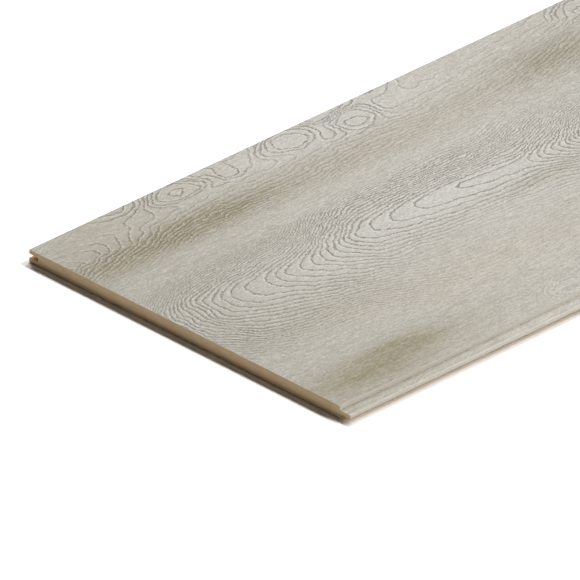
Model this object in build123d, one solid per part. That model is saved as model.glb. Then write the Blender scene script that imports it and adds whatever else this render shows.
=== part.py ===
from build123d import *
import os

# Tongue-and-groove wall panel, moulded from one board.
# X runs across the panel from groove to tongue, Y along it, Z from its back to its face.
# The origin is at the middle of the back, on the surface that the panel lies on.

# Driving sizes, in millimetres.
length = 2600.0
face_width = 238.0
thickness = 8.0

# Groove along one long edge, with a lip of board above it on the face side.
face_lip = 2.8
groove_height = 2.4
groove_depth = 7.0
groove_mouth_chamfer = 0.3

# Tongue along the other long edge. It fits the groove of the next panel with a clearance above and below,
# and it is longer than the groove is deep, so that an open joint shows between two laid panels.
tongue_clearance = 0.1
joint_gap = 1.0
tongue_tip_chamfer = 0.4

# Eased edges of the section, and the cutter's radius in its inner corners.
face_edge_radius = 0.8
back_edge_radius = 0.8
root_radius = 0.3

# Levels above the back.
groove_top = thickness - face_lip
groove_bottom = groove_top - groove_height
tongue_top = groove_top - tongue_clearance
tongue_bottom = groove_bottom + tongue_clearance

# Places across the panel.
tongue_reach = groove_depth + joint_gap
overall_width = face_width + tongue_reach
groove_side = -overall_width / 2
groove_end = groove_side + groove_depth
tongue_side = groove_side + face_width
tongue_tip = tongue_side + tongue_reach


def block(left, right, bottom, top):
    """A rectangle of the section between two places across and two levels."""
    return Pos(left, bottom) * Rectangle(right - left, top - bottom, align=Align.MIN)


def ease(section, operation, places, levels, size):
    """Round or chamfer the section's corners at each of the places and levels."""
    points = [(place, level) for place in places for level in levels]
    corners = [section.vertices().sort_by_distance(point)[0] for point in points]
    return operation(corners, size)


def panel_section():
    """The moulded cross-section, drawn with Z as its second coordinate."""
    board = block(groove_side, tongue_side, 0, thickness)
    groove = block(groove_side, groove_end, groove_bottom, groove_top)
    tongue = block(tongue_side, tongue_tip, tongue_bottom, tongue_top)
    section = board - groove + tongue

    section = ease(section, fillet, (groove_side, tongue_side), (thickness,), face_edge_radius)
    section = ease(section, fillet, (groove_side, tongue_side), (0,), back_edge_radius)
    section = ease(section, fillet, (groove_end,), (groove_bottom, groove_top), root_radius)
    section = ease(section, chamfer, (groove_side,), (groove_bottom, groove_top), groove_mouth_chamfer)
    section = ease(section, fillet, (tongue_side,), (tongue_bottom, tongue_top), root_radius)
    return ease(section, chamfer, (tongue_tip,), (tongue_bottom, tongue_top), tongue_tip_chamfer)


def wall_panel():
    """The section run along the whole length, half to each side of the origin."""
    return extrude(Plane.XZ * panel_section(), amount=length / 2, both=True)


os.makedirs("parts", exist_ok=True)
export_step(wall_panel(), "parts/wall_panel.step")
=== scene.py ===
import math
from typing import NamedTuple

import bpy
import numpy as np
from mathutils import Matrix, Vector


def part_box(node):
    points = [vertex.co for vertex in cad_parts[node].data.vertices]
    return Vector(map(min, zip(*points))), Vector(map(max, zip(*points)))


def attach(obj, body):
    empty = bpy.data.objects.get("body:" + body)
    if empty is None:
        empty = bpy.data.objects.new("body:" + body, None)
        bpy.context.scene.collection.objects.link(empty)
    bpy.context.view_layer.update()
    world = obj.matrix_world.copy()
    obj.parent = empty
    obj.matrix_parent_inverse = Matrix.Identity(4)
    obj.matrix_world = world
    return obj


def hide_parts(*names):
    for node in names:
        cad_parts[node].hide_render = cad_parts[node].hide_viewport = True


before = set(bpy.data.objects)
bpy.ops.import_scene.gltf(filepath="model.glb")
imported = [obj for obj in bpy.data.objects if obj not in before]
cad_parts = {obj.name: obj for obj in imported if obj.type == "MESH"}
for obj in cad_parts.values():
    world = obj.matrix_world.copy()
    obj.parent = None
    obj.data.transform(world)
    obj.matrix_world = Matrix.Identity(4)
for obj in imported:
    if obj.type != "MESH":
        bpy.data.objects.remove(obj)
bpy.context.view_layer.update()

# Tongue-and-groove wall panel lying on its back: MDF with a grey oak decor foil.
# Lengths below are in millimetres unless a name says metres.
METRES = 0.001


def millimetres(metres):
    """A length of the frame, to the nearest micrometre."""
    return round(metres / METRES, 3)


# The board's box comes from the frame. The other sizes of the section are the CAD part's.
LOW_CORNER, HIGH_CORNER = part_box("wall_panel")
LENGTH = millimetres(HIGH_CORNER.y - LOW_CORNER.y)
THICKNESS = millimetres(HIGH_CORNER.z - LOW_CORNER.z)
GROOVE_SIDE = millimetres(LOW_CORNER.x)
TONGUE_TIP = millimetres(HIGH_CORNER.x)
FACE_LIP = 2.8
GROOVE_HEIGHT = 2.4
GROOVE_DEPTH = 7.0
TONGUE_CLEARANCE = 0.1
JOINT_GAP = 1.0
EDGE_RADIUS = 0.8
ROOT_RADIUS = 0.3
MOUTH_CHAMFER = 0.3
TIP_CHAMFER = 0.4
GROOVE_TOP = THICKNESS - FACE_LIP
GROOVE_BOTTOM = GROOVE_TOP - GROOVE_HEIGHT
GROOVE_END = GROOVE_SIDE + GROOVE_DEPTH
TONGUE_TOP = GROOVE_TOP - TONGUE_CLEARANCE
TONGUE_BOTTOM = GROOVE_BOTTOM + TONGUE_CLEARANCE
TONGUE_SIDE = TONGUE_TIP - GROOVE_DEPTH - JOINT_GAP
FACE_WIDTH = TONGUE_SIDE - GROOVE_SIDE

# Grid of the face: (end of the zone across from the groove edge, columns in it).
FACE_ZONES = ((36.0, 20), (84.0, 12), (152.0, 40), (FACE_WIDTH - EDGE_RADIUS, 18))
EDGE_STEPS = 4
ROOT_STEPS = 3
SHARP_ANGLE_DEGREES = 35.0
# The length is cut into equal strips for the decor's own map, with this many rows of mesh in each.
STRIP_ROWS = (190, 100, 62, 62, 62, 62, 62, 62, 62)
STRIPS_ACROSS_MAP = 3
# Layout of the map, as shares of its side: strips of foil in a grid, raw board beside it, sawn ends above.
MAP_GRID_WIDTH = 0.92
MAP_GRID_HEIGHT = 0.955
MAP_GAP = 0.006
MAP_BAND_LEFT = 0.93
MAP_BAND_WIDTH = 0.065
MAP_END_HEIGHT = 0.015
MAP_NEAR_END_BOTTOM = 0.962
MAP_FAR_END_BOTTOM = 0.983

# Oak figure. Places along run from the near end, places across from the groove edge.
# Stations of the heart: place along, place across, depth of the heart under the face, climb of the rings
# towards the groove, climb towards the tongue, rings lost in a hollow.
STATIONS = (
    (-60, 117, 140, 2.0, 1.0, 0),
    (-20, 116, 100, 2.0, 0.95, 0),
    (3, 114, 73, 2.0, 0.9, 0),
    (15, 113, 61, 1.9, 0.9, 0),
    (24, 113, 52.5, 1.75, 0.85, 0),
    (37, 114, 46.5, 1.6, 0.82, 0),
    (51, 115, 41.5, 1.5, 0.82, 0),
    (63, 116, 38.8, 1.45, 0.85, 0),
    (79, 117, 33.6, 1.4, 0.85, 0),
    (98, 118, 28.6, 1.3, 0.8, 0),
    (110, 117, 24, 1.2, 0.7, 0),
    (123, 114, 19.7, 1.05, 0.6, 0),
    (137, 112, 13.3, 0.92, 0.52, 0),
    (150, 110, 10.8, 0.8, 0.48, 0),
    (178, 111, 6.5, 0.8, 0.46, 0),
    (212, 112, 3.6, 0.8, 0.46, 0),
    (238, 114, 1.5, 0.8, 0.46, 0),
    (262, 115, 1.5, 0.8, 0.46, 0.5),
    (285, 116, 1.5, 0.75, 0.48, 5),
    (310, 116, 2, 0.75, 0.5, 11),
    (350, 115, 2, 0.9, 0.7, 15),
    (420, 112, 3, 1.0, 0.8, 16),
    (520, 110, 6, 1.0, 0.85, 12),
    (650, 116, 12, 1.0, 0.9, 4),
    (760, 122, 20, 1.0, 1.0, 0),
    (880, 124, 36, 1.1, 1.1, 0),
    (1000, 118, 26, 1.0, 1.0, 0),
    (1120, 110, 15, 0.95, 0.75, 0),
    (1230, 109, 8, 1.0, 0.7, 0),
    (1330, 112, 3, 1.0, 0.7, 1),
    (1400, 116, 2, 0.9, 0.75, 10),
    (1480, 120, 3, 0.95, 0.8, 14),
    (1600, 121, 10, 1.0, 0.9, 6),
    (1740, 116, 26, 1.0, 1.0, 0),
    (1900, 110, 48, 1.3, 1.2, 0),
    (2040, 114, 26, 1.0, 0.95, 0),
    (2160, 119, 14, 0.95, 0.75, 0),
    (2270, 118, 6, 1.0, 0.7, 0),
    (2360, 115, 2, 0.95, 0.75, 6),
    (2450, 112, 4, 1.0, 0.8, 13),
    (2560, 111, 12, 1.0, 0.9, 6),
    (2680, 112, 30, 1.1, 1.1, 0),
)
# Swirls round small knots: place along, place across, half length, half width, rings gained or lost.
SWIRLS = (
    (98, 9, 21, 11, 4.4),
    (182, 9, 22, 14, 5.0),
    (226, 17, 16, 11, 4.8),
    (252, -6, 22, 17, 3.2),
    (180, 228, 19, 13, 5.0),
    (134, 13, 7, 9, -1.5),
    (62, -4, 18, 14, -2.2),
    (402, 9, 20, 9, 4.0),
    (640, 24, 26, 12, 5.0),
    (720, 8, 18, 9, 4.5),
    (940, 214, 26, 12, 5.0),
    (1010, 228, 20, 11, 4.0),
    (1230, 20, 28, 13, 5.5),
    (1330, 6, 20, 11, 5.0),
    (1640, 206, 24, 12, 5.0),
    (1790, 26, 24, 12, 4.5),
    (1980, 12, 26, 13, 5.0),
    (2120, 216, 28, 13, 5.5),
    (2330, 18, 22, 11, 4.5),
    (2440, 30, 26, 12, 5.0),
)
# Shelves where the rings sink a little without closing: the same columns.
SHELVES = (
    (560, 190, 70, 18, -3.0),
    (850, 40, 80, 18, -3.0),
    (1150, 196, 70, 16, -3.0),
    (1480, 46, 80, 18, -3.5),
    (1850, 188, 80, 18, -3.0),
    (2250, 48, 70, 16, -3.5),
)
# Lines beside the groove edge run along the panel and rise and sink: place along, shift across.
GROOVE_WAVES = (
    (-60, 41),
    (0, 27),
    (35, 16),
    (60, 7),
    (105, 0),
    (150, 2),
    (205, -1),
    (260, 1),
    (320, -3),
    (400, -22),
    (460, -26),
    (560, -12),
    (700, 6),
    (850, -10),
    (1000, 4),
    (1150, -14),
    (1300, 0),
    (1450, -16),
    (1600, 2),
    (1750, -14),
    (1900, 6),
    (2050, -10),
    (2200, 2),
    (2350, -16),
    (2500, 0),
    (2680, -8),
)
# Lines counted inwards from the groove edge, by place across.
GROOVE_LINE_PLACES = (0, 14, 24, 34, 70)
GROOVE_LINE_COUNTS = (0, 1.0, 2.3, 5.2, 18)
# Rings that a wave moves for each millimetre, the places between which its grip grows, and its least grip.
GROOVE_WAVE_RINGS = 0.36
GROOVE_WAVE_START = (6.0, 32.0)
GROOVE_WAVE_LEAST = 0.15
# Where the lines beside the groove edge give way to the heart's own rings.
GROOVE_BAND_END = 66.0
GROOVE_BAND_SOFTNESS = 4.0
# Rings counted from the heart, by radius.
RING_RADII = (0, 6, 12, 18, 24, 30, 45, 70, 110, 200)
RING_COUNTS = (0, 1.8, 4.4, 7.2, 10, 12.6, 18.4, 27, 39, 62)
# The two sides of the heart meet softly, climb more further out, and flatten past a reach.
HEART_SOFTNESS = 4.0
CLIMB_GROWTH = 0.8
CLIMB_HALF_WIDTH = 40.0
EDGE_REACH = 80.0
EDGE_FLATTENING = 0.35
HOLLOW_HALF_WIDTH = 55.0
SWIRL_FULLNESS = 1.6
# Unevenness of the figure: amount, length and width of its cells, seed.
SLOW_DRIFT_ALONG = (3.0, 22, 14, 3)
FINE_DRIFT_ALONG = (1.3, 7, 5, 6)
SLOW_DRIFT_ACROSS = (1.5, 26, 12, 4)
FINE_DRIFT_ACROSS = (0.9, 7, 5, 5)
FIGURE_DRIFT = (0.06, 60, 12, 31)
# Whole cells added to every place, so that none falls before the first cell of noise.
NOISE_MARGIN = 40

# Strength of the lines: the least away from the heart, the heart's reach towards groove and tongue, the
# size of knots, and what knots, the groove edge and its olive streaks add.
LEAST_FIGURE = 0.04
FIGURE_REACH_UP = 25.0
FIGURE_REACH_DOWN = 52.0
KNOT_GROWTH = 1.3
KNOT_FIGURE = 0.9
GROOVE_FIGURE = 0.25
OLIVE_FIGURE = 0.5
# Rings per millimetre are measured over a short step, within limits.
SLOPE_STEP = 0.25
SLOPE_LIMITS = (0.04, 2.0)
# A line's half width is a share of a ring, within limits in millimetres.
LINE_HALF_RINGS = 0.3
LINE_HALF_LIMITS = (0.2, 0.8)

# Soft patches of tone: place along, place across, half length, half width, amount.
OLIVE_PATCHES = (
    (45, 43, 100, 13, 0.95),
    (85, 42, 50, 9, 0.5),
    (355, 42, 45, 16, 0.75),
    (64, 215, 32, 9, 0.6),
    (38, 207, 18, 1.6, 0.4),
    (60, 209, 20, 1.8, 0.3),
    (84, 219, 22, 2.0, 0.3),
    (34, 224, 20, 1.8, 0.3),
    (10, 220, 75, 16, 0.53),
    (50, 228, 65, 18, 0.35),
    (205, 46, 90, 14, 0.17),
    (250, 134, 24, 5, 0.3),
    (40, 160, 70, 12, 0.15),
    (25, 12, 60, 16, 0.22),
    (130, 214, 50, 14, 0.12),
    (620, 60, 90, 14, 0.5),
    (760, 210, 110, 14, 0.6),
    (980, 48, 120, 14, 0.65),
    (1180, 150, 80, 12, 0.3),
    (1340, 206, 110, 14, 0.6),
    (1560, 52, 130, 14, 0.65),
    (1790, 200, 100, 14, 0.55),
    (1990, 60, 110, 13, 0.5),
    (2180, 212, 110, 14, 0.6),
    (2380, 46, 120, 14, 0.65),
    (2540, 190, 80, 14, 0.5),
)
WARM_PATCHES = (
    (150, 182, 90, 20, 0.6),
    (60, 165, 60, 12, 0.4),
    (60, 232, 70, 10, 0.5),
    (50, 8, 80, 25, 0.4),
    (258, 137, 16, 5, 0.6),
    (225, 48, 110, 16, 0.7),
    (700, 150, 120, 24, 0.5),
    (1060, 190, 120, 24, 0.5),
    (1420, 90, 120, 24, 0.5),
    (1700, 170, 120, 24, 0.5),
    (2080, 100, 120, 24, 0.5),
    (2300, 170, 120, 24, 0.5),
)
PALE_PATCHES = (
    (215, 14, 90, 18, 0.8),
    (200, 114, 80, 18, 0.9),
    (80, 118, 70, 20, 0.7),
    (320, 105, 80, 50, 0.4),
    (205, 78, 60, 14, 0.45),
    (175, 222, 40, 22, 0.3),
    (222, 146, 30, 14, 0.4),
    (135, 160, 35, 18, 0.2),
    (560, 105, 110, 30, 0.6),
    (860, 170, 110, 26, 0.5),
    (1240, 110, 130, 26, 0.7),
    (1640, 110, 110, 26, 0.5),
    (1900, 20, 110, 20, 0.5),
    (2280, 112, 130, 26, 0.7),
    (2480, 120, 90, 26, 0.5),
)
# The first row is painted shade: it darkens the whole face towards the near end. The second is a dark patch
# of tone.
DARK_PATCHES_AND_NEAR_END_SHADE = (
    (-30, 120, 120, 400, 0.75),
    (70, 77, 70, 14, 0.32),
)
# Places with more lines, and with few.
LINED_PATCHES = (
    (195, 84, 65, 13, 0.65),
    (75, 84, 85, 12, 0.4),
    (300, 85, 60, 16, 0.4),
    (205, 48, 80, 12, 0.15),
    (105, 174, 70, 16, 0.15),
    (25, 152, 42, 14, 0.3),
    (32, 28, 36, 12, 0.5),
)
PLAIN_PATCHES = (
    (10, 4, 36, 12, 0.5),
    (200, 153, 85, 15, 0.4),
    (50, 67, 100, 8, 0.8),
    (180, 228, 26, 17, 0.55),
)

# Painted light: how far the foil is lightened on the step to the tongue, at the tongue's root and on its
# tip, to stand in for light that these faces lack. The root counts up to a rise above the tongue, and the
# tip's painted light fades in over a length.
STEP_PAINTED_LIGHT = 0.7
ROOT_PAINTED_LIGHT = 0.08
ROOT_RISE = 0.05
TIP_PAINTED_LIGHT = 0.42
TIP_FADE = 1.6


class Texture(NamedTuple):
    """Noise by the size of its cells, and the levels between which a share grows from least to most."""
    across: float
    along: float
    shift: float
    detail: float
    roughness: float = 0.5
    begins: float = 0.0
    full: float = 1.0
    least: float = 0.0
    most: float = 1.0


# Textures of the foil: what makes its lines ragged and broken, then the marks of its ground.
JAGS = Texture(across=1.8, along=2.4, shift=1.3, detail=2.0, roughness=0.6)
BREAKS = Texture(across=2.5, along=7.0, shift=5.1, detail=1.0, begins=0.3, full=0.6, least=0.55)
DOTS = Texture(across=0.8, along=1.0, shift=2.7, detail=1.0, begins=0.35, full=0.6, least=0.5)
# Pores: printed, and their dark colour also paints the shade of the pressed relief.
PORES = Texture(across=0.5, along=2.0, shift=7.7, detail=0.0, begins=0.42, full=0.62)
# Painted highlights of the pressed relief, as pale flecks.
HIGHLIGHT_FLECKS = Texture(across=0.5, along=2.4, shift=11.3, detail=0.0, begins=0.46, full=0.62)
THREADS = Texture(across=1.3, along=12.0, shift=13.7, detail=1.0, begins=0.38, full=0.62)
FIBRES = Texture(across=1.4, along=12.0, shift=3.9, detail=2.0, begins=0.3, full=0.7)
STREAKS = Texture(across=5.0, along=70.0, shift=9.2, detail=3.0, roughness=0.55, begins=0.3, full=0.7)
STRIPES = Texture(
    across=2.2, along=40.0, shift=4.4, detail=3.0, roughness=0.6,
    begins=0.35, full=0.65, least=0.7, most=1.1,
)
# Textures of the raw board.
SPECKS = Texture(across=0.5, along=0.5, shift=2.2, detail=3.0, roughness=0.65, begins=0.45, full=0.75)
CLOUDS = Texture(across=7.0, along=9.0, shift=6.4, detail=2.0, begins=0.3, full=0.7)
# A texture's shift moves it by these shares along the three axes.
SHIFT_SHARES = (1.0, 0.7, 0.3)
NOISE_MIDDLE = 0.5

# Lines of the foil: how far jags reach in millimetres, then in half widths of a line how it fades, and
# where the painted highlight beside it lies and fades.
JAG_REACH = 3.0
LINE_FADE = (0.25, 1.05)
HIGHLIGHT_PLACE = 1.4
HIGHLIGHT_FADE = (0.1, 1.0)
# How much of each mark's colour shows.
WHOLE = 1.0
STREAK_SHARE = 0.4
DARK_THREAD_SHARE = 0.12
PALE_THREAD_SHARE = 0.13
FIBRE_SHARE = 0.15
HIGHLIGHT_FLECK_SHARE = 0.16
PORE_AND_SHADE_SHARE = 0.28
HIGHLIGHT_SHARE = 0.35
LINE_SHARE = 0.75
SKIN_SHARE = 0.6
SPECK_SHARE = 0.35
CLOUD_SHARE = 0.15
# The dense skins of the board by distance from its middle, and the foil's cut edge by depth under the face.
SKIN_FADE = (1.5, 4.0)
FOIL_EDGE_FADE = (0.4, 0.3)
# Gloss and relief. Pores are shallower than lines.
FOIL_ROUGHNESS = 0.6
FOIL_SPECULAR = 0.25
FOIL_RELIEF = 0.3
PORE_RELIEF_SHARE = 0.6
BOARD_ROUGHNESS = 0.85
BOARD_SPECULAR = 0.2
BOARD_RELIEF = 0.06

# Colours in sRGB steps from 0 to 255.
GROUND_COLOUR = (192, 187, 175)
OLIVE_COLOUR = (140, 131, 97)
WARM_COLOUR = (194, 184, 170)
PALE_COLOUR = (208, 205, 198)
# Colour of the dark patches and of the painted shade towards the near end.
DARK_COLOUR = (169, 164, 152)
LINE_COLOUR = (122, 113, 98)
# Pale threads, and the painted highlights on flecks and beside the lines.
PALE_AND_HIGHLIGHT_COLOUR = (236, 233, 227)
PORE_COLOUR = (128, 120, 106)
BOARD_COLOUR = (229, 200, 158)
BOARD_SPECK_COLOUR = (190, 150, 104)
BOARD_SKIN_COLOUR = (220, 191, 150)
# The foil's cut edge on the sawn ends, and the painted light on the step and the tongue's tip.
FOIL_EDGE_AND_PAINTED_LIGHT_COLOUR = (246, 240, 225)
FLOOR_COLOUR = (255, 255, 255)

# Camera of the photo: looks down on the near end, from far away so that parallel edges stay parallel.
VIEW_AZIMUTH = 45.85
VIEW_ELEVATION = 29.11
VIEW_WIDTH_METRES = 0.309
VIEW_DISTANCE_METRES = 14.5
VIEW_TARGET_METRES = (0.0065, -1.2315, 0.008)
SENSOR_WIDTH = 36.0
VIEW_END_METRES = 500.0

# Light: a long strip behind the far end, made of soft suns side by side, and a faint sky.
# Each sun has its slope towards the tongue side and its share of the light on the floor.
STRIP_SUNS = ((-0.9, 0.24), (-0.3, 0.31), (0.3, 0.27), (0.9, 0.13), (1.5, 0.08))
STRIP_SLOPE = 0.7
STRIP_WIDTH_DEGREES = 14.0
SKY_SHARE = 0.025
# The floor is white paper, a little brighter to the camera than to the object.
FLOOR_HALF_SIZE_METRES = 200.0
FLOOR_SEEN_GAIN = 1.25


def linear(colour):
    """An sRGB colour as the linear one that the shaders take."""
    share = np.array(colour, float) / 255
    low = share / 12.92
    high = ((share + 0.055) / 1.055) ** 2.4
    return (*np.where(share <= 0.04045, low, high), 1.0)


def arc(centre, radius, first, last, steps):
    """Points of a rounded corner, from one angle to another in degrees."""
    angles = np.radians(np.linspace(first, last, steps + 1))
    return [(centre[0] + radius * math.cos(a), centre[1] + radius * math.sin(a)) for a in angles]


def face_columns():
    """Places across of the face's columns, close together where the figure is fine."""
    places = [EDGE_RADIUS]
    for end, columns in FACE_ZONES:
        places.extend(np.linspace(places[-1], end, columns + 1)[1:])
    return [GROOVE_SIDE + place for place in places]


def panel_section():
    """The closed section, over the face from groove to tongue and back underneath.

    It returns the points and the number of sides that the foil covers, which come first."""
    face_left = GROOVE_SIDE + EDGE_RADIUS
    face_right = TONGUE_SIDE - EDGE_RADIUS
    shoulder = THICKNESS - EDGE_RADIUS
    root = TONGUE_SIDE + ROOT_RADIUS
    tip_bevel = TONGUE_TIP - TIP_CHAMFER
    mouth_bevel = GROOVE_SIDE + MOUTH_CHAMFER
    corner = GROOVE_END - ROOT_RADIUS
    points = [(GROOVE_SIDE, GROOVE_TOP + MOUTH_CHAMFER)]
    points += arc((face_left, shoulder), EDGE_RADIUS, 180, 90, EDGE_STEPS)
    points += [(x, THICKNESS) for x in face_columns()[1:-1]]
    points += arc((face_right, shoulder), EDGE_RADIUS, 90, 0, EDGE_STEPS)
    points += arc((root, TONGUE_TOP + ROOT_RADIUS), ROOT_RADIUS, 180, 270, ROOT_STEPS)
    points += [(TONGUE_TIP - TIP_FADE, TONGUE_TOP), (tip_bevel, TONGUE_TOP)]
    points += [(TONGUE_TIP, TONGUE_TOP - TIP_CHAMFER)]
    points += [(TONGUE_TIP, TONGUE_BOTTOM + TIP_CHAMFER), (tip_bevel, TONGUE_BOTTOM)]
    foil_sides = len(points) - 1
    points += arc((root, TONGUE_BOTTOM - ROOT_RADIUS), ROOT_RADIUS, 90, 180, ROOT_STEPS)
    points += arc((face_right, EDGE_RADIUS), EDGE_RADIUS, 0, -90, EDGE_STEPS)
    points += arc((face_left, EDGE_RADIUS), EDGE_RADIUS, -90, -180, EDGE_STEPS)
    points += [(GROOVE_SIDE, GROOVE_BOTTOM - MOUTH_CHAMFER), (mouth_bevel, GROOVE_BOTTOM)]
    points += arc((corner, GROOVE_BOTTOM + ROOT_RADIUS), ROOT_RADIUS, -90, 0, ROOT_STEPS)
    points += arc((corner, GROOVE_TOP - ROOT_RADIUS), ROOT_RADIUS, 0, 90, ROOT_STEPS)
    points += [(mouth_bevel, GROOVE_TOP)]
    return np.array(points), foil_sides


def row_places():
    """Places along of the mesh's rows, the strip that each row of faces is in, and the strips' ends."""
    ends = np.linspace(0, LENGTH, len(STRIP_ROWS) + 1)
    places = [0.0]
    strips = []
    for strip, rows in enumerate(STRIP_ROWS):
        places.extend(np.linspace(ends[strip], ends[strip + 1], rows + 1)[1:])
        strips.extend([strip] * rows)
    return np.array(places), np.array(strips), ends


def smooth_curve(at, places, values):
    """A curve that eases from one value to the next with no corners."""
    places = np.asarray(places, float)
    values = np.asarray(values, float)
    slopes = np.gradient(values, places)
    k = np.clip(np.searchsorted(places, at) - 1, 0, len(places) - 2)
    span = places[k + 1] - places[k]
    t = np.clip((at - places[k]) / span, 0, 1)
    ease = t * t * (3 - 2 * t)
    bend = t * (1 - t) ** 2 * slopes[k] * span + t * t * (t - 1) * slopes[k + 1] * span
    return values[k] * (1 - ease) + values[k + 1] * ease + bend


def soft_step(value):
    """0 well below zero and 1 well above it."""
    return 0.5 + 0.5 * np.tanh(value)


def soft_noise(x, y, seed):
    """Smooth noise between -1 and 1 with cells of one unit."""
    x = x + NOISE_MARGIN
    y = y + NOISE_MARGIN
    lattice = np.random.default_rng(seed).uniform(-1, 1, (int(x.max()) + 3, int(y.max()) + 3))
    i = np.floor(x).astype(int)
    j = np.floor(y).astype(int)
    s = (x - i) ** 2 * (3 - 2 * (x - i))
    t = (y - j) ** 2 * (3 - 2 * (y - j))
    near = lattice[i, j] * (1 - s) + lattice[i + 1, j] * s
    far = lattice[i, j + 1] * (1 - s) + lattice[i + 1, j + 1] * s
    return near * (1 - t) + far * t


def drift(along, across, row):
    """Soft unevenness over the face, from a row of amount, length and width of its cells, and seed."""
    amount, cell_length, cell_width, seed = row
    return amount * soft_noise(along / cell_length, across / cell_width, seed)


def patches(along, across, rows, growth=1.0, fullness=1.0):
    """Sum of soft oval patches. A fuller patch is flatter in its middle and steeper at its edge."""
    total = np.zeros_like(along)
    for place, side, half_length, half_width, amount in rows:
        a = (along - place) / (half_length * growth)
        b = (across - side) / (half_width * growth)
        total += amount * np.exp(-((a * a + b * b) ** fullness))
    return total


def groove_band(across):
    """1 beside the groove edge, falling to 0 where the heart's own rings begin."""
    return soft_step((GROOVE_BAND_END - across) / GROOVE_BAND_SOFTNESS)


def heart_rings(along, across):
    """Rings round the heart that the stations describe, and the distance across from it."""
    stations = np.array(STATIONS, float).T
    curves = (smooth_curve(along, stations[0], row) for row in stations[1:])
    heart, depth, climb_up, climb_down, hollow = curves
    off = across - heart
    far = np.abs(off)
    side = soft_step(off / HEART_SOFTNESS)
    reach = far * (climb_up * (1 - side) + climb_down * side)
    reach = reach * (1 + CLIMB_GROWTH * far / (far + CLIMB_HALF_WIDTH))
    beyond = np.maximum(reach - EDGE_REACH, 0)
    reach = reach - beyond * (1 - EDGE_FLATTENING)
    rings = smooth_curve(np.hypot(reach, depth), RING_RADII, RING_COUNTS)
    rings = rings - hollow * np.exp(-(off / HOLLOW_HALF_WIDTH) ** 2)
    return rings + patches(along, across, SHELVES), off


def groove_lines(along, across):
    """Lines that run along the groove edge and rise and sink with its waves."""
    waves = np.array(GROOVE_WAVES, float).T
    start, end = GROOVE_WAVE_START
    grip = np.clip((across - start) / (end - start), GROOVE_WAVE_LEAST, 1)
    lines = smooth_curve(across, GROOVE_LINE_PLACES, GROOVE_LINE_COUNTS)
    return lines - smooth_curve(along, waves[0], waves[1]) * GROOVE_WAVE_RINGS * grip


def ring_field(along, across):
    """Growth-ring number at each place on the face, and its distance across from the heart."""
    bumps = 1 + groove_band(across)
    v = along + drift(along, across, SLOW_DRIFT_ALONG) + drift(along, across, FINE_DRIFT_ALONG)
    u = across + drift(along, across, SLOW_DRIFT_ACROSS) + bumps * drift(along, across, FINE_DRIFT_ACROSS)
    rings, off = heart_rings(v, u)
    rings = rings + (groove_lines(v, u) - rings) * groove_band(u)
    return rings + patches(v, u, SWIRLS, fullness=SWIRL_FULLNESS), off


def decor_values(along, across):
    """The figure's values at the mesh's points, by the name of the attribute that holds them."""
    rings, off = ring_field(along, across)
    ahead = ring_field(along + SLOPE_STEP, across)[0]
    aside = ring_field(along, across + SLOPE_STEP)[0]
    slope = np.clip(np.hypot(ahead - rings, aside - rings) / SLOPE_STEP, *SLOPE_LIMITS)
    marks = [(*row[:4], 1.0) for row in SWIRLS]
    knots = np.clip(patches(along, across, marks, growth=KNOT_GROWTH), 0, 1)
    olive = patches(along, across, OLIVE_PATCHES)
    reach = np.where(off < 0, FIGURE_REACH_UP, FIGURE_REACH_DOWN)
    figure = LEAST_FIGURE + (1 - LEAST_FIGURE) * np.exp(-(off / reach) ** 2)
    figure = figure + drift(along, across, FIGURE_DRIFT) + KNOT_FIGURE * knots
    figure = figure + (GROOVE_FIGURE + OLIVE_FIGURE * olive) * groove_band(across)
    figure = figure + patches(along, across, LINED_PATCHES) - patches(along, across, PLAIN_PATCHES)
    return {
        "ring": rings,
        "ring_slope": slope,
        "line_half": np.clip(LINE_HALF_RINGS / slope, *LINE_HALF_LIMITS),
        "figure": np.clip(figure, 0, 1),
        "olive": np.clip(olive, 0, 1),
        "warm": np.clip(patches(along, across, WARM_PATCHES), 0, 1),
        "pale": np.clip(patches(along, across, PALE_PATCHES), 0, 1),
        "dark": np.clip(patches(along, across, DARK_PATCHES_AND_NEAR_END_SHADE), 0, 1),
    }


def painted_step_light(x, z):
    """Painted light: where the foil is lightened down the step to the tongue and over the tongue's tip."""
    bend = EDGE_RADIUS / 2
    step = np.clip((x - TONGUE_SIDE + bend) / bend, 0, 1) * (x < TONGUE_SIDE + 2 * ROOT_RADIUS)
    tip = np.clip((x - TONGUE_TIP + TIP_FADE) / (TIP_FADE - TIP_CHAMFER), 0, 1)
    wall = np.where(z > TONGUE_TOP + ROOT_RISE, STEP_PAINTED_LIGHT, ROOT_PAINTED_LIGHT)
    return np.maximum(wall * step, TIP_PAINTED_LIGHT * tip)


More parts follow.
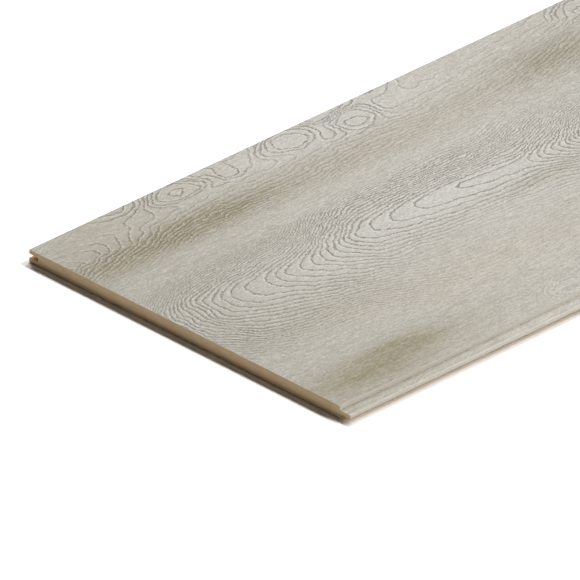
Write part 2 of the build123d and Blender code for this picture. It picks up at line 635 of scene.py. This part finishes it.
def side_corners(section, foil_sides, places, strips, strip_ends):
    """Map places of every side's corners: the foil strip by strip in a grid, the raw board in a band."""
    sides = len(section)
    rows = len(strips)
    steps = np.hypot(*(np.roll(section, -1, 0) - section).T)
    run = np.concatenate([[0], np.cumsum(steps)])
    foil_run = run[foil_sides]
    foil_across = np.where(np.arange(sides + 1) <= foil_sides, run / foil_run, 0)
    raw_across = (run - foil_run) / (run[-1] - foil_run)
    cell_width = MAP_GRID_WIDTH / STRIPS_ACROSS_MAP
    cell_height = MAP_GRID_HEIGHT / math.ceil(len(STRIP_ROWS) / STRIPS_ACROSS_MAP)
    cell_left = strips % STRIPS_ACROSS_MAP * cell_width
    cell_bottom = strips // STRIPS_ACROSS_MAP * cell_height
    strip_length = strip_ends[1] - strip_ends[0]
    corners = np.zeros((rows, sides, 4, 2))
    for corner, (row_shift, side_shift) in enumerate(((0, 0), (0, 1), (1, 1), (1, 0))):
        at = places[row_shift:rows + row_shift]
        along = (at - strip_ends[strips]) / strip_length
        across = foil_across[side_shift:sides + side_shift]
        corners[:, :, corner, 0] = cell_left[:, None] + across[None, :] * (cell_width - MAP_GAP)
        corners[:, :, corner, 1] = (cell_bottom + along * (cell_height - MAP_GAP))[:, None]
        raw_part = raw_across[foil_sides + side_shift:sides + side_shift]
        corners[:, foil_sides:, corner, 0] = MAP_BAND_LEFT + raw_part[None, :] * MAP_BAND_WIDTH
        corners[:, foil_sides:, corner, 1] = (at / LENGTH)[:, None]
    return corners.reshape(-1, 2)


def end_corners(section, bottom):
    """Map places of a sawn end, in a thin band along the top of the map."""
    across = (section[:, 0] - GROOVE_SIDE) / (TONGUE_TIP - GROOVE_SIDE)
    level = section[:, 1] / THICKNESS
    return np.stack([across * MAP_GRID_WIDTH, bottom + level * MAP_END_HEIGHT], 1)


def panel_mesh():
    """The dressed panel: the section run along the length, closed by two sawn ends."""
    section, foil_sides = panel_section()
    places, strips, strip_ends = row_places()
    sides = len(section)
    rows = len(strips)
    points = np.zeros((rows + 1, sides, 3))
    points[:, :, 0] = section[None, :, 0]
    points[:, :, 1] = places[:, None] - LENGTH / 2
    points[:, :, 2] = section[None, :, 1]
    points = points.reshape(-1, 3)

    first = np.arange(rows)[:, None] * sides + np.arange(sides)[None, :]
    after = np.arange(rows)[:, None] * sides + (np.arange(sides)[None, :] + 1) % sides
    quads = np.stack([first, after, after + sides, first + sides], -1).reshape(-1, 4)
    near_end = list(range(sides))[::-1]
    far_end = list(range(rows * sides, (rows + 1) * sides))
    mesh = bpy.data.meshes.new("panel")
    mesh.from_pydata((points * METRES).tolist(), [], quads.tolist() + [near_end, far_end])

    # Material 0 is the foil and material 1 the raw board, which the two ends show as well.
    material = np.ones(len(quads) + 2, np.int32)
    material[:-2] = np.tile(np.arange(sides) >= foil_sides, rows)
    mesh.polygons.foreach_set("material_index", material)
    mesh.shade_smooth()
    mesh.set_sharp_from_angle(angle=math.radians(SHARP_ANGLE_DEGREES))

    side_map = side_corners(section, foil_sides, places, strips, strip_ends)
    near_map = end_corners(section, MAP_NEAR_END_BOTTOM)[::-1]
    far_map = end_corners(section, MAP_FAR_END_BOTTOM)
    corners = np.concatenate([side_map, near_map, far_map])
    mesh.uv_layers.new(name="OFBake").data.foreach_set("uv", corners.ravel().astype(np.float32))

    values = decor_values(points[:, 1] + LENGTH / 2, points[:, 0] - GROOVE_SIDE)
    # The edge attribute holds the painted light on the step, the tongue's root and its tip.
    values["edge"] = painted_step_light(points[:, 0], points[:, 2])
    for name, numbers in values.items():
        attribute = mesh.attributes.new(name, "FLOAT", "POINT")
        attribute.data.foreach_set("value", numbers.astype(np.float32))
    mesh.update()
    return mesh


class Shader:
    """A material under construction, with short calls for the nodes that it uses."""

    def __init__(self, name):
        self.material = bpy.data.materials.new(name)
        self.material.use_nodes = True
        self.tree = self.material.node_tree
        self.surface = self.tree.nodes["Principled BSDF"]
        self.place = self.tree.nodes.new("ShaderNodeTexCoord").outputs["Object"]

    def feed(self, socket, value):
        """Joins a socket to another one, or sets it to a plain value."""
        if isinstance(value, bpy.types.NodeSocket):
            self.tree.links.new(value, socket)
        else:
            socket.default_value = value

    def calc(self, operation, *values, clamp=False):
        """A sum on sockets and plain numbers."""
        node = self.tree.nodes.new("ShaderNodeMath")
        node.operation = operation
        node.use_clamp = clamp
        for socket, value in zip(node.inputs, values):
            self.feed(socket, value)
        return node.outputs[0]

    def attribute(self, name):
        """A value that the mesh holds at its points."""
        node = self.tree.nodes.new("ShaderNodeAttribute")
        node.attribute_name = name
        return node.outputs["Fac"]

    def noise(self, texture):
        """A texture's noise, with its cells across and along the panel."""
        mapping = self.tree.nodes.new("ShaderNodeMapping")
        across = 1 / texture.across / METRES
        along = 1 / texture.along / METRES
        mapping.inputs["Location"].default_value = [texture.shift * share for share in SHIFT_SHARES]
        mapping.inputs["Scale"].default_value = (across, along, across)
        self.tree.links.new(self.place, mapping.inputs["Vector"])
        node = self.tree.nodes.new("ShaderNodeTexNoise")
        node.inputs["Scale"].default_value = 1.0
        node.inputs["Detail"].default_value = texture.detail
        node.inputs["Roughness"].default_value = texture.roughness
        self.tree.links.new(mapping.outputs["Vector"], node.inputs["Vector"])
        return node.outputs["Fac"]

    def span(self, value, low, high, first=0.0, last=1.0):
        """The value's place between low and high, turned into one between first and last."""
        node = self.tree.nodes.new("ShaderNodeMapRange")
        node.interpolation_type = "SMOOTHSTEP"
        self.feed(node.inputs["Value"], value)
        node.inputs["From Min"].default_value = low
        node.inputs["From Max"].default_value = high
        node.inputs["To Min"].default_value = first
        node.inputs["To Max"].default_value = last
        return node.outputs["Result"]

    def pattern(self, texture):
        """A texture's noise as a share that grows from its least to its most."""
        return self.span(self.noise(texture), texture.begins, texture.full, texture.least, texture.most)

    def blend(self, share, first, second):
        """Two colours mixed by a share of the second."""
        node = self.tree.nodes.new("ShaderNodeMix")
        node.data_type = "RGBA"
        colours = [socket for socket in node.inputs if socket.type == "RGBA"]
        self.feed(node.inputs["Factor"], share)
        self.feed(colours[0], first)
        self.feed(colours[1], second)
        return next(socket for socket in node.outputs if socket.type == "RGBA")

    def coats(self, ground, rows):
        """Lays colours over a ground, each by where it is and how much of it shows."""
        colour = linear(ground)
        for place, amount, tone in rows:
            share = place if amount == WHOLE else self.calc("MULTIPLY", place, amount)
            colour = self.blend(share, colour, linear(tone))
        self.feed(self.surface.inputs["Base Color"], colour)

    def gloss(self, roughness, specular):
        """An even gloss over the whole surface."""
        self.surface.inputs["Roughness"].default_value = roughness
        self.surface.inputs["Specular IOR Level"].default_value = specular

    def relief(self, height, depth):
        """Bump of the given depth in millimetres where height is 1."""
        node = self.tree.nodes.new("ShaderNodeBump")
        node.inputs["Strength"].default_value = 1.0
        node.inputs["Distance"].default_value = depth * METRES
        self.feed(node.inputs["Height"], height)
        self.tree.links.new(node.outputs["Normal"], self.surface.inputs["Normal"])


def growth_lines(s):
    """The lines at whole ring numbers and the painted highlight beside each, ragged and broken, as two
    shares.
    """
    slope = s.attribute("ring_slope")
    figure = s.attribute("figure")
    jag = s.calc("SUBTRACT", s.noise(JAGS), NOISE_MIDDLE)
    shift = s.calc("MULTIPLY", s.calc("MULTIPLY", jag, JAG_REACH), slope)
    ring = s.calc("ADD", s.attribute("ring"), shift)
    away = s.calc("DIVIDE", s.calc("SUBTRACT", ring, s.calc("ROUND", ring)), slope)
    away = s.calc("DIVIDE", away, s.attribute("line_half"))
    core = s.span(s.calc("ABSOLUTE", away), *LINE_FADE, 1.0, 0.0)
    beside = s.calc("ABSOLUTE", s.calc("SUBTRACT", away, HIGHLIGHT_PLACE))
    highlight_band = s.span(beside, *HIGHLIGHT_FADE, 1.0, 0.0)
    broken = s.calc("MULTIPLY", s.pattern(BREAKS), s.pattern(DOTS))
    line = s.calc("MULTIPLY", s.calc("MULTIPLY", core, figure), broken, clamp=True)
    highlight = s.calc("MULTIPLY", s.calc("MULTIPLY", highlight_band, figure), broken, clamp=True)
    return line, highlight


def decor_foil():
    """Grey oak print with its lines and pores pressed into a matt surface, and painted light: highlights
    beside the lines and in flecks, shade in the pores and at the near end, light on the step and tip.
    """
    s = Shader("decor_foil")
    line, highlight = growth_lines(s)
    rough = s.noise(PORES)
    plain = s.calc("SUBTRACT", 1.0, s.attribute("figure"))
    dark_threads = s.calc("MULTIPLY", s.pattern(THREADS), plain)
    pale_threads = s.calc("SUBTRACT", plain, dark_threads)
    s.coats(GROUND_COLOUR, (
        (s.pattern(STREAKS), STREAK_SHARE, PALE_COLOUR),
        (s.attribute("warm"), WHOLE, WARM_COLOUR),
        (s.attribute("pale"), WHOLE, PALE_COLOUR),
        # Dark patches, the first of them painted shade towards the near end.
        (s.attribute("dark"), WHOLE, DARK_COLOUR),
        (dark_threads, DARK_THREAD_SHARE, PORE_COLOUR),
        (pale_threads, PALE_THREAD_SHARE, PALE_AND_HIGHLIGHT_COLOUR),
        (s.calc("MULTIPLY", s.attribute("olive"), s.pattern(STRIPES), clamp=True), WHOLE, OLIVE_COLOUR),
        (s.pattern(FIBRES), FIBRE_SHARE, PORE_COLOUR),
        # Painted highlights of the pressed relief, as pale flecks.
        (s.pattern(HIGHLIGHT_FLECKS), HIGHLIGHT_FLECK_SHARE, PALE_AND_HIGHLIGHT_COLOUR),
        # Printed pores, darkened further as painted shade of the pressed relief.
        (s.span(rough, PORES.begins, PORES.full), PORE_AND_SHADE_SHARE, PORE_COLOUR),
        # Painted highlight on the flank beside each line that faces the light.
        (highlight, HIGHLIGHT_SHARE, PALE_AND_HIGHLIGHT_COLOUR),
        (line, LINE_SHARE, LINE_COLOUR),
        # Painted light on the step, the tongue's root and its tip.
        (s.attribute("edge"), WHOLE, FOIL_EDGE_AND_PAINTED_LIGHT_COLOUR),
    ))
    s.gloss(FOIL_ROUGHNESS, FOIL_SPECULAR)
    sunk = s.calc("ADD", line, s.calc("MULTIPLY", rough, PORE_RELIEF_SHARE))
    s.relief(s.calc("SUBTRACT", 1.0, sunk), FOIL_RELIEF)
    return s.material


def raw_board():
    """Sawn and sanded MDF: felted fibres, a little darker in the dense skins, and the foil's cut edge."""
    s = Shader("raw_mdf")
    parts = s.tree.nodes.new("ShaderNodeSeparateXYZ")
    s.tree.links.new(s.place, parts.inputs["Vector"])
    level = s.calc("DIVIDE", parts.outputs["Z"], METRES)
    specks = s.pattern(SPECKS)
    off_middle = s.calc("ABSOLUTE", s.calc("SUBTRACT", level, THICKNESS / 2))
    s.coats(BOARD_COLOUR, (
        (s.span(off_middle, *SKIN_FADE), SKIN_SHARE, BOARD_SKIN_COLOUR),
        (specks, SPECK_SHARE, BOARD_SPECK_COLOUR),
        (s.pattern(CLOUDS), CLOUD_SHARE, BOARD_SPECK_COLOUR),
        (s.span(level, *(THICKNESS - depth for depth in FOIL_EDGE_FADE)), WHOLE, FOIL_EDGE_AND_PAINTED_LIGHT_COLOUR),
    ))
    s.gloss(BOARD_ROUGHNESS, BOARD_SPECULAR)
    s.relief(specks, BOARD_RELIEF)
    return s.material


def dressed_panel():
    """The panel with its two materials, in the place of the CAD solid."""
    panel = bpy.data.objects.new("panel", panel_mesh())
    bpy.context.scene.collection.objects.link(panel)
    panel.data.materials.append(decor_foil())
    panel.data.materials.append(raw_board())
    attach(panel, "root")
    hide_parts("wall_panel")


def show_apart(tree, lit, seen, output_kind):
    """Joins two shaders to the output: light meets the first, and the camera sees the second."""
    path = tree.nodes.new("ShaderNodeLightPath")
    mix = tree.nodes.new("ShaderNodeMixShader")
    output = tree.nodes.new(output_kind)
    tree.links.new(path.outputs["Is Camera Ray"], mix.inputs["Fac"])
    tree.links.new(lit.outputs[0], mix.inputs[1])
    tree.links.new(seen.outputs[0], mix.inputs[2])
    tree.links.new(mix.outputs[0], output.inputs["Surface"])


def studio_floor():
    """A wide sheet of white paper that takes the panel's shadow."""
    half = FLOOR_HALF_SIZE_METRES
    corners = [(-half, -half, 0), (half, -half, 0), (half, half, 0), (-half, half, 0)]
    mesh = bpy.data.meshes.new("floor")
    mesh.from_pydata(corners, [], [(0, 1, 2, 3)])
    floor = bpy.data.objects.new("floor", mesh)
    bpy.context.scene.collection.objects.link(floor)
    material = bpy.data.materials.new("floor_white")
    material.use_nodes = True
    tree = material.node_tree
    tree.nodes.clear()
    paper = tree.nodes.new("ShaderNodeBsdfDiffuse")
    paper.inputs["Color"].default_value = linear(FLOOR_COLOUR)
    seen = tree.nodes.new("ShaderNodeBsdfDiffuse")
    seen.inputs["Color"].default_value = [FLOOR_SEEN_GAIN * part for part in linear(FLOOR_COLOUR)]
    show_apart(tree, paper, seen, "ShaderNodeOutputMaterial")
    mesh.materials.append(material)


def studio_light():
    """The strip of suns, a faint sky, and a white backdrop that only the camera sees."""
    for number, (slope, share) in enumerate(STRIP_SUNS):
        towards = Vector((slope, STRIP_SLOPE, 1.0)).normalized()
        lamp = bpy.data.lights.new(f"strip_sun_{number}", "SUN")
        lamp.energy = share * math.pi / towards.z
        lamp.angle = math.radians(STRIP_WIDTH_DEGREES)
        sun = bpy.data.objects.new(lamp.name, lamp)
        sun.rotation_mode = "QUATERNION"
        sun.rotation_quaternion = towards.to_track_quat("Z", "Y")
        bpy.context.scene.collection.objects.link(sun)

    world = bpy.data.worlds.new("studio")
    world.use_nodes = True
    tree = world.node_tree
    tree.nodes.clear()
    sky = tree.nodes.new("ShaderNodeBackground")
    sky.inputs["Strength"].default_value = SKY_SHARE
    backdrop = tree.nodes.new("ShaderNodeBackground")
    for shade in (sky, backdrop):
        shade.inputs["Color"].default_value = (1, 1, 1, 1)
    show_apart(tree, sky, backdrop, "ShaderNodeOutputWorld")
    bpy.context.scene.world = world


def studio_camera():
    """The photo's view, through a long lens."""
    azimuth = math.radians(VIEW_AZIMUTH)
    elevation = math.radians(VIEW_ELEVATION)
    back = Vector((
        math.sin(azimuth) * math.cos(elevation),
        -math.cos(azimuth) * math.cos(elevation),
        math.sin(elevation),
    ))
    data = bpy.data.cameras.new("camera")
    data.sensor_width = SENSOR_WIDTH
    data.lens = SENSOR_WIDTH * VIEW_DISTANCE_METRES / VIEW_WIDTH_METRES
    data.clip_end = VIEW_END_METRES
    camera = bpy.data.objects.new("camera", data)
    camera.location = Vector(VIEW_TARGET_METRES) + back * VIEW_DISTANCE_METRES
    camera.rotation_mode = "QUATERNION"
    camera.rotation_quaternion = (-back).to_track_quat("-Z", "Y")
    bpy.context.scene.collection.objects.link(camera)
    bpy.context.scene.camera = camera


dressed_panel()
studio_floor()
studio_light()
studio_camera()
bpy.context.scene.view_settings.view_transform = "Standard"
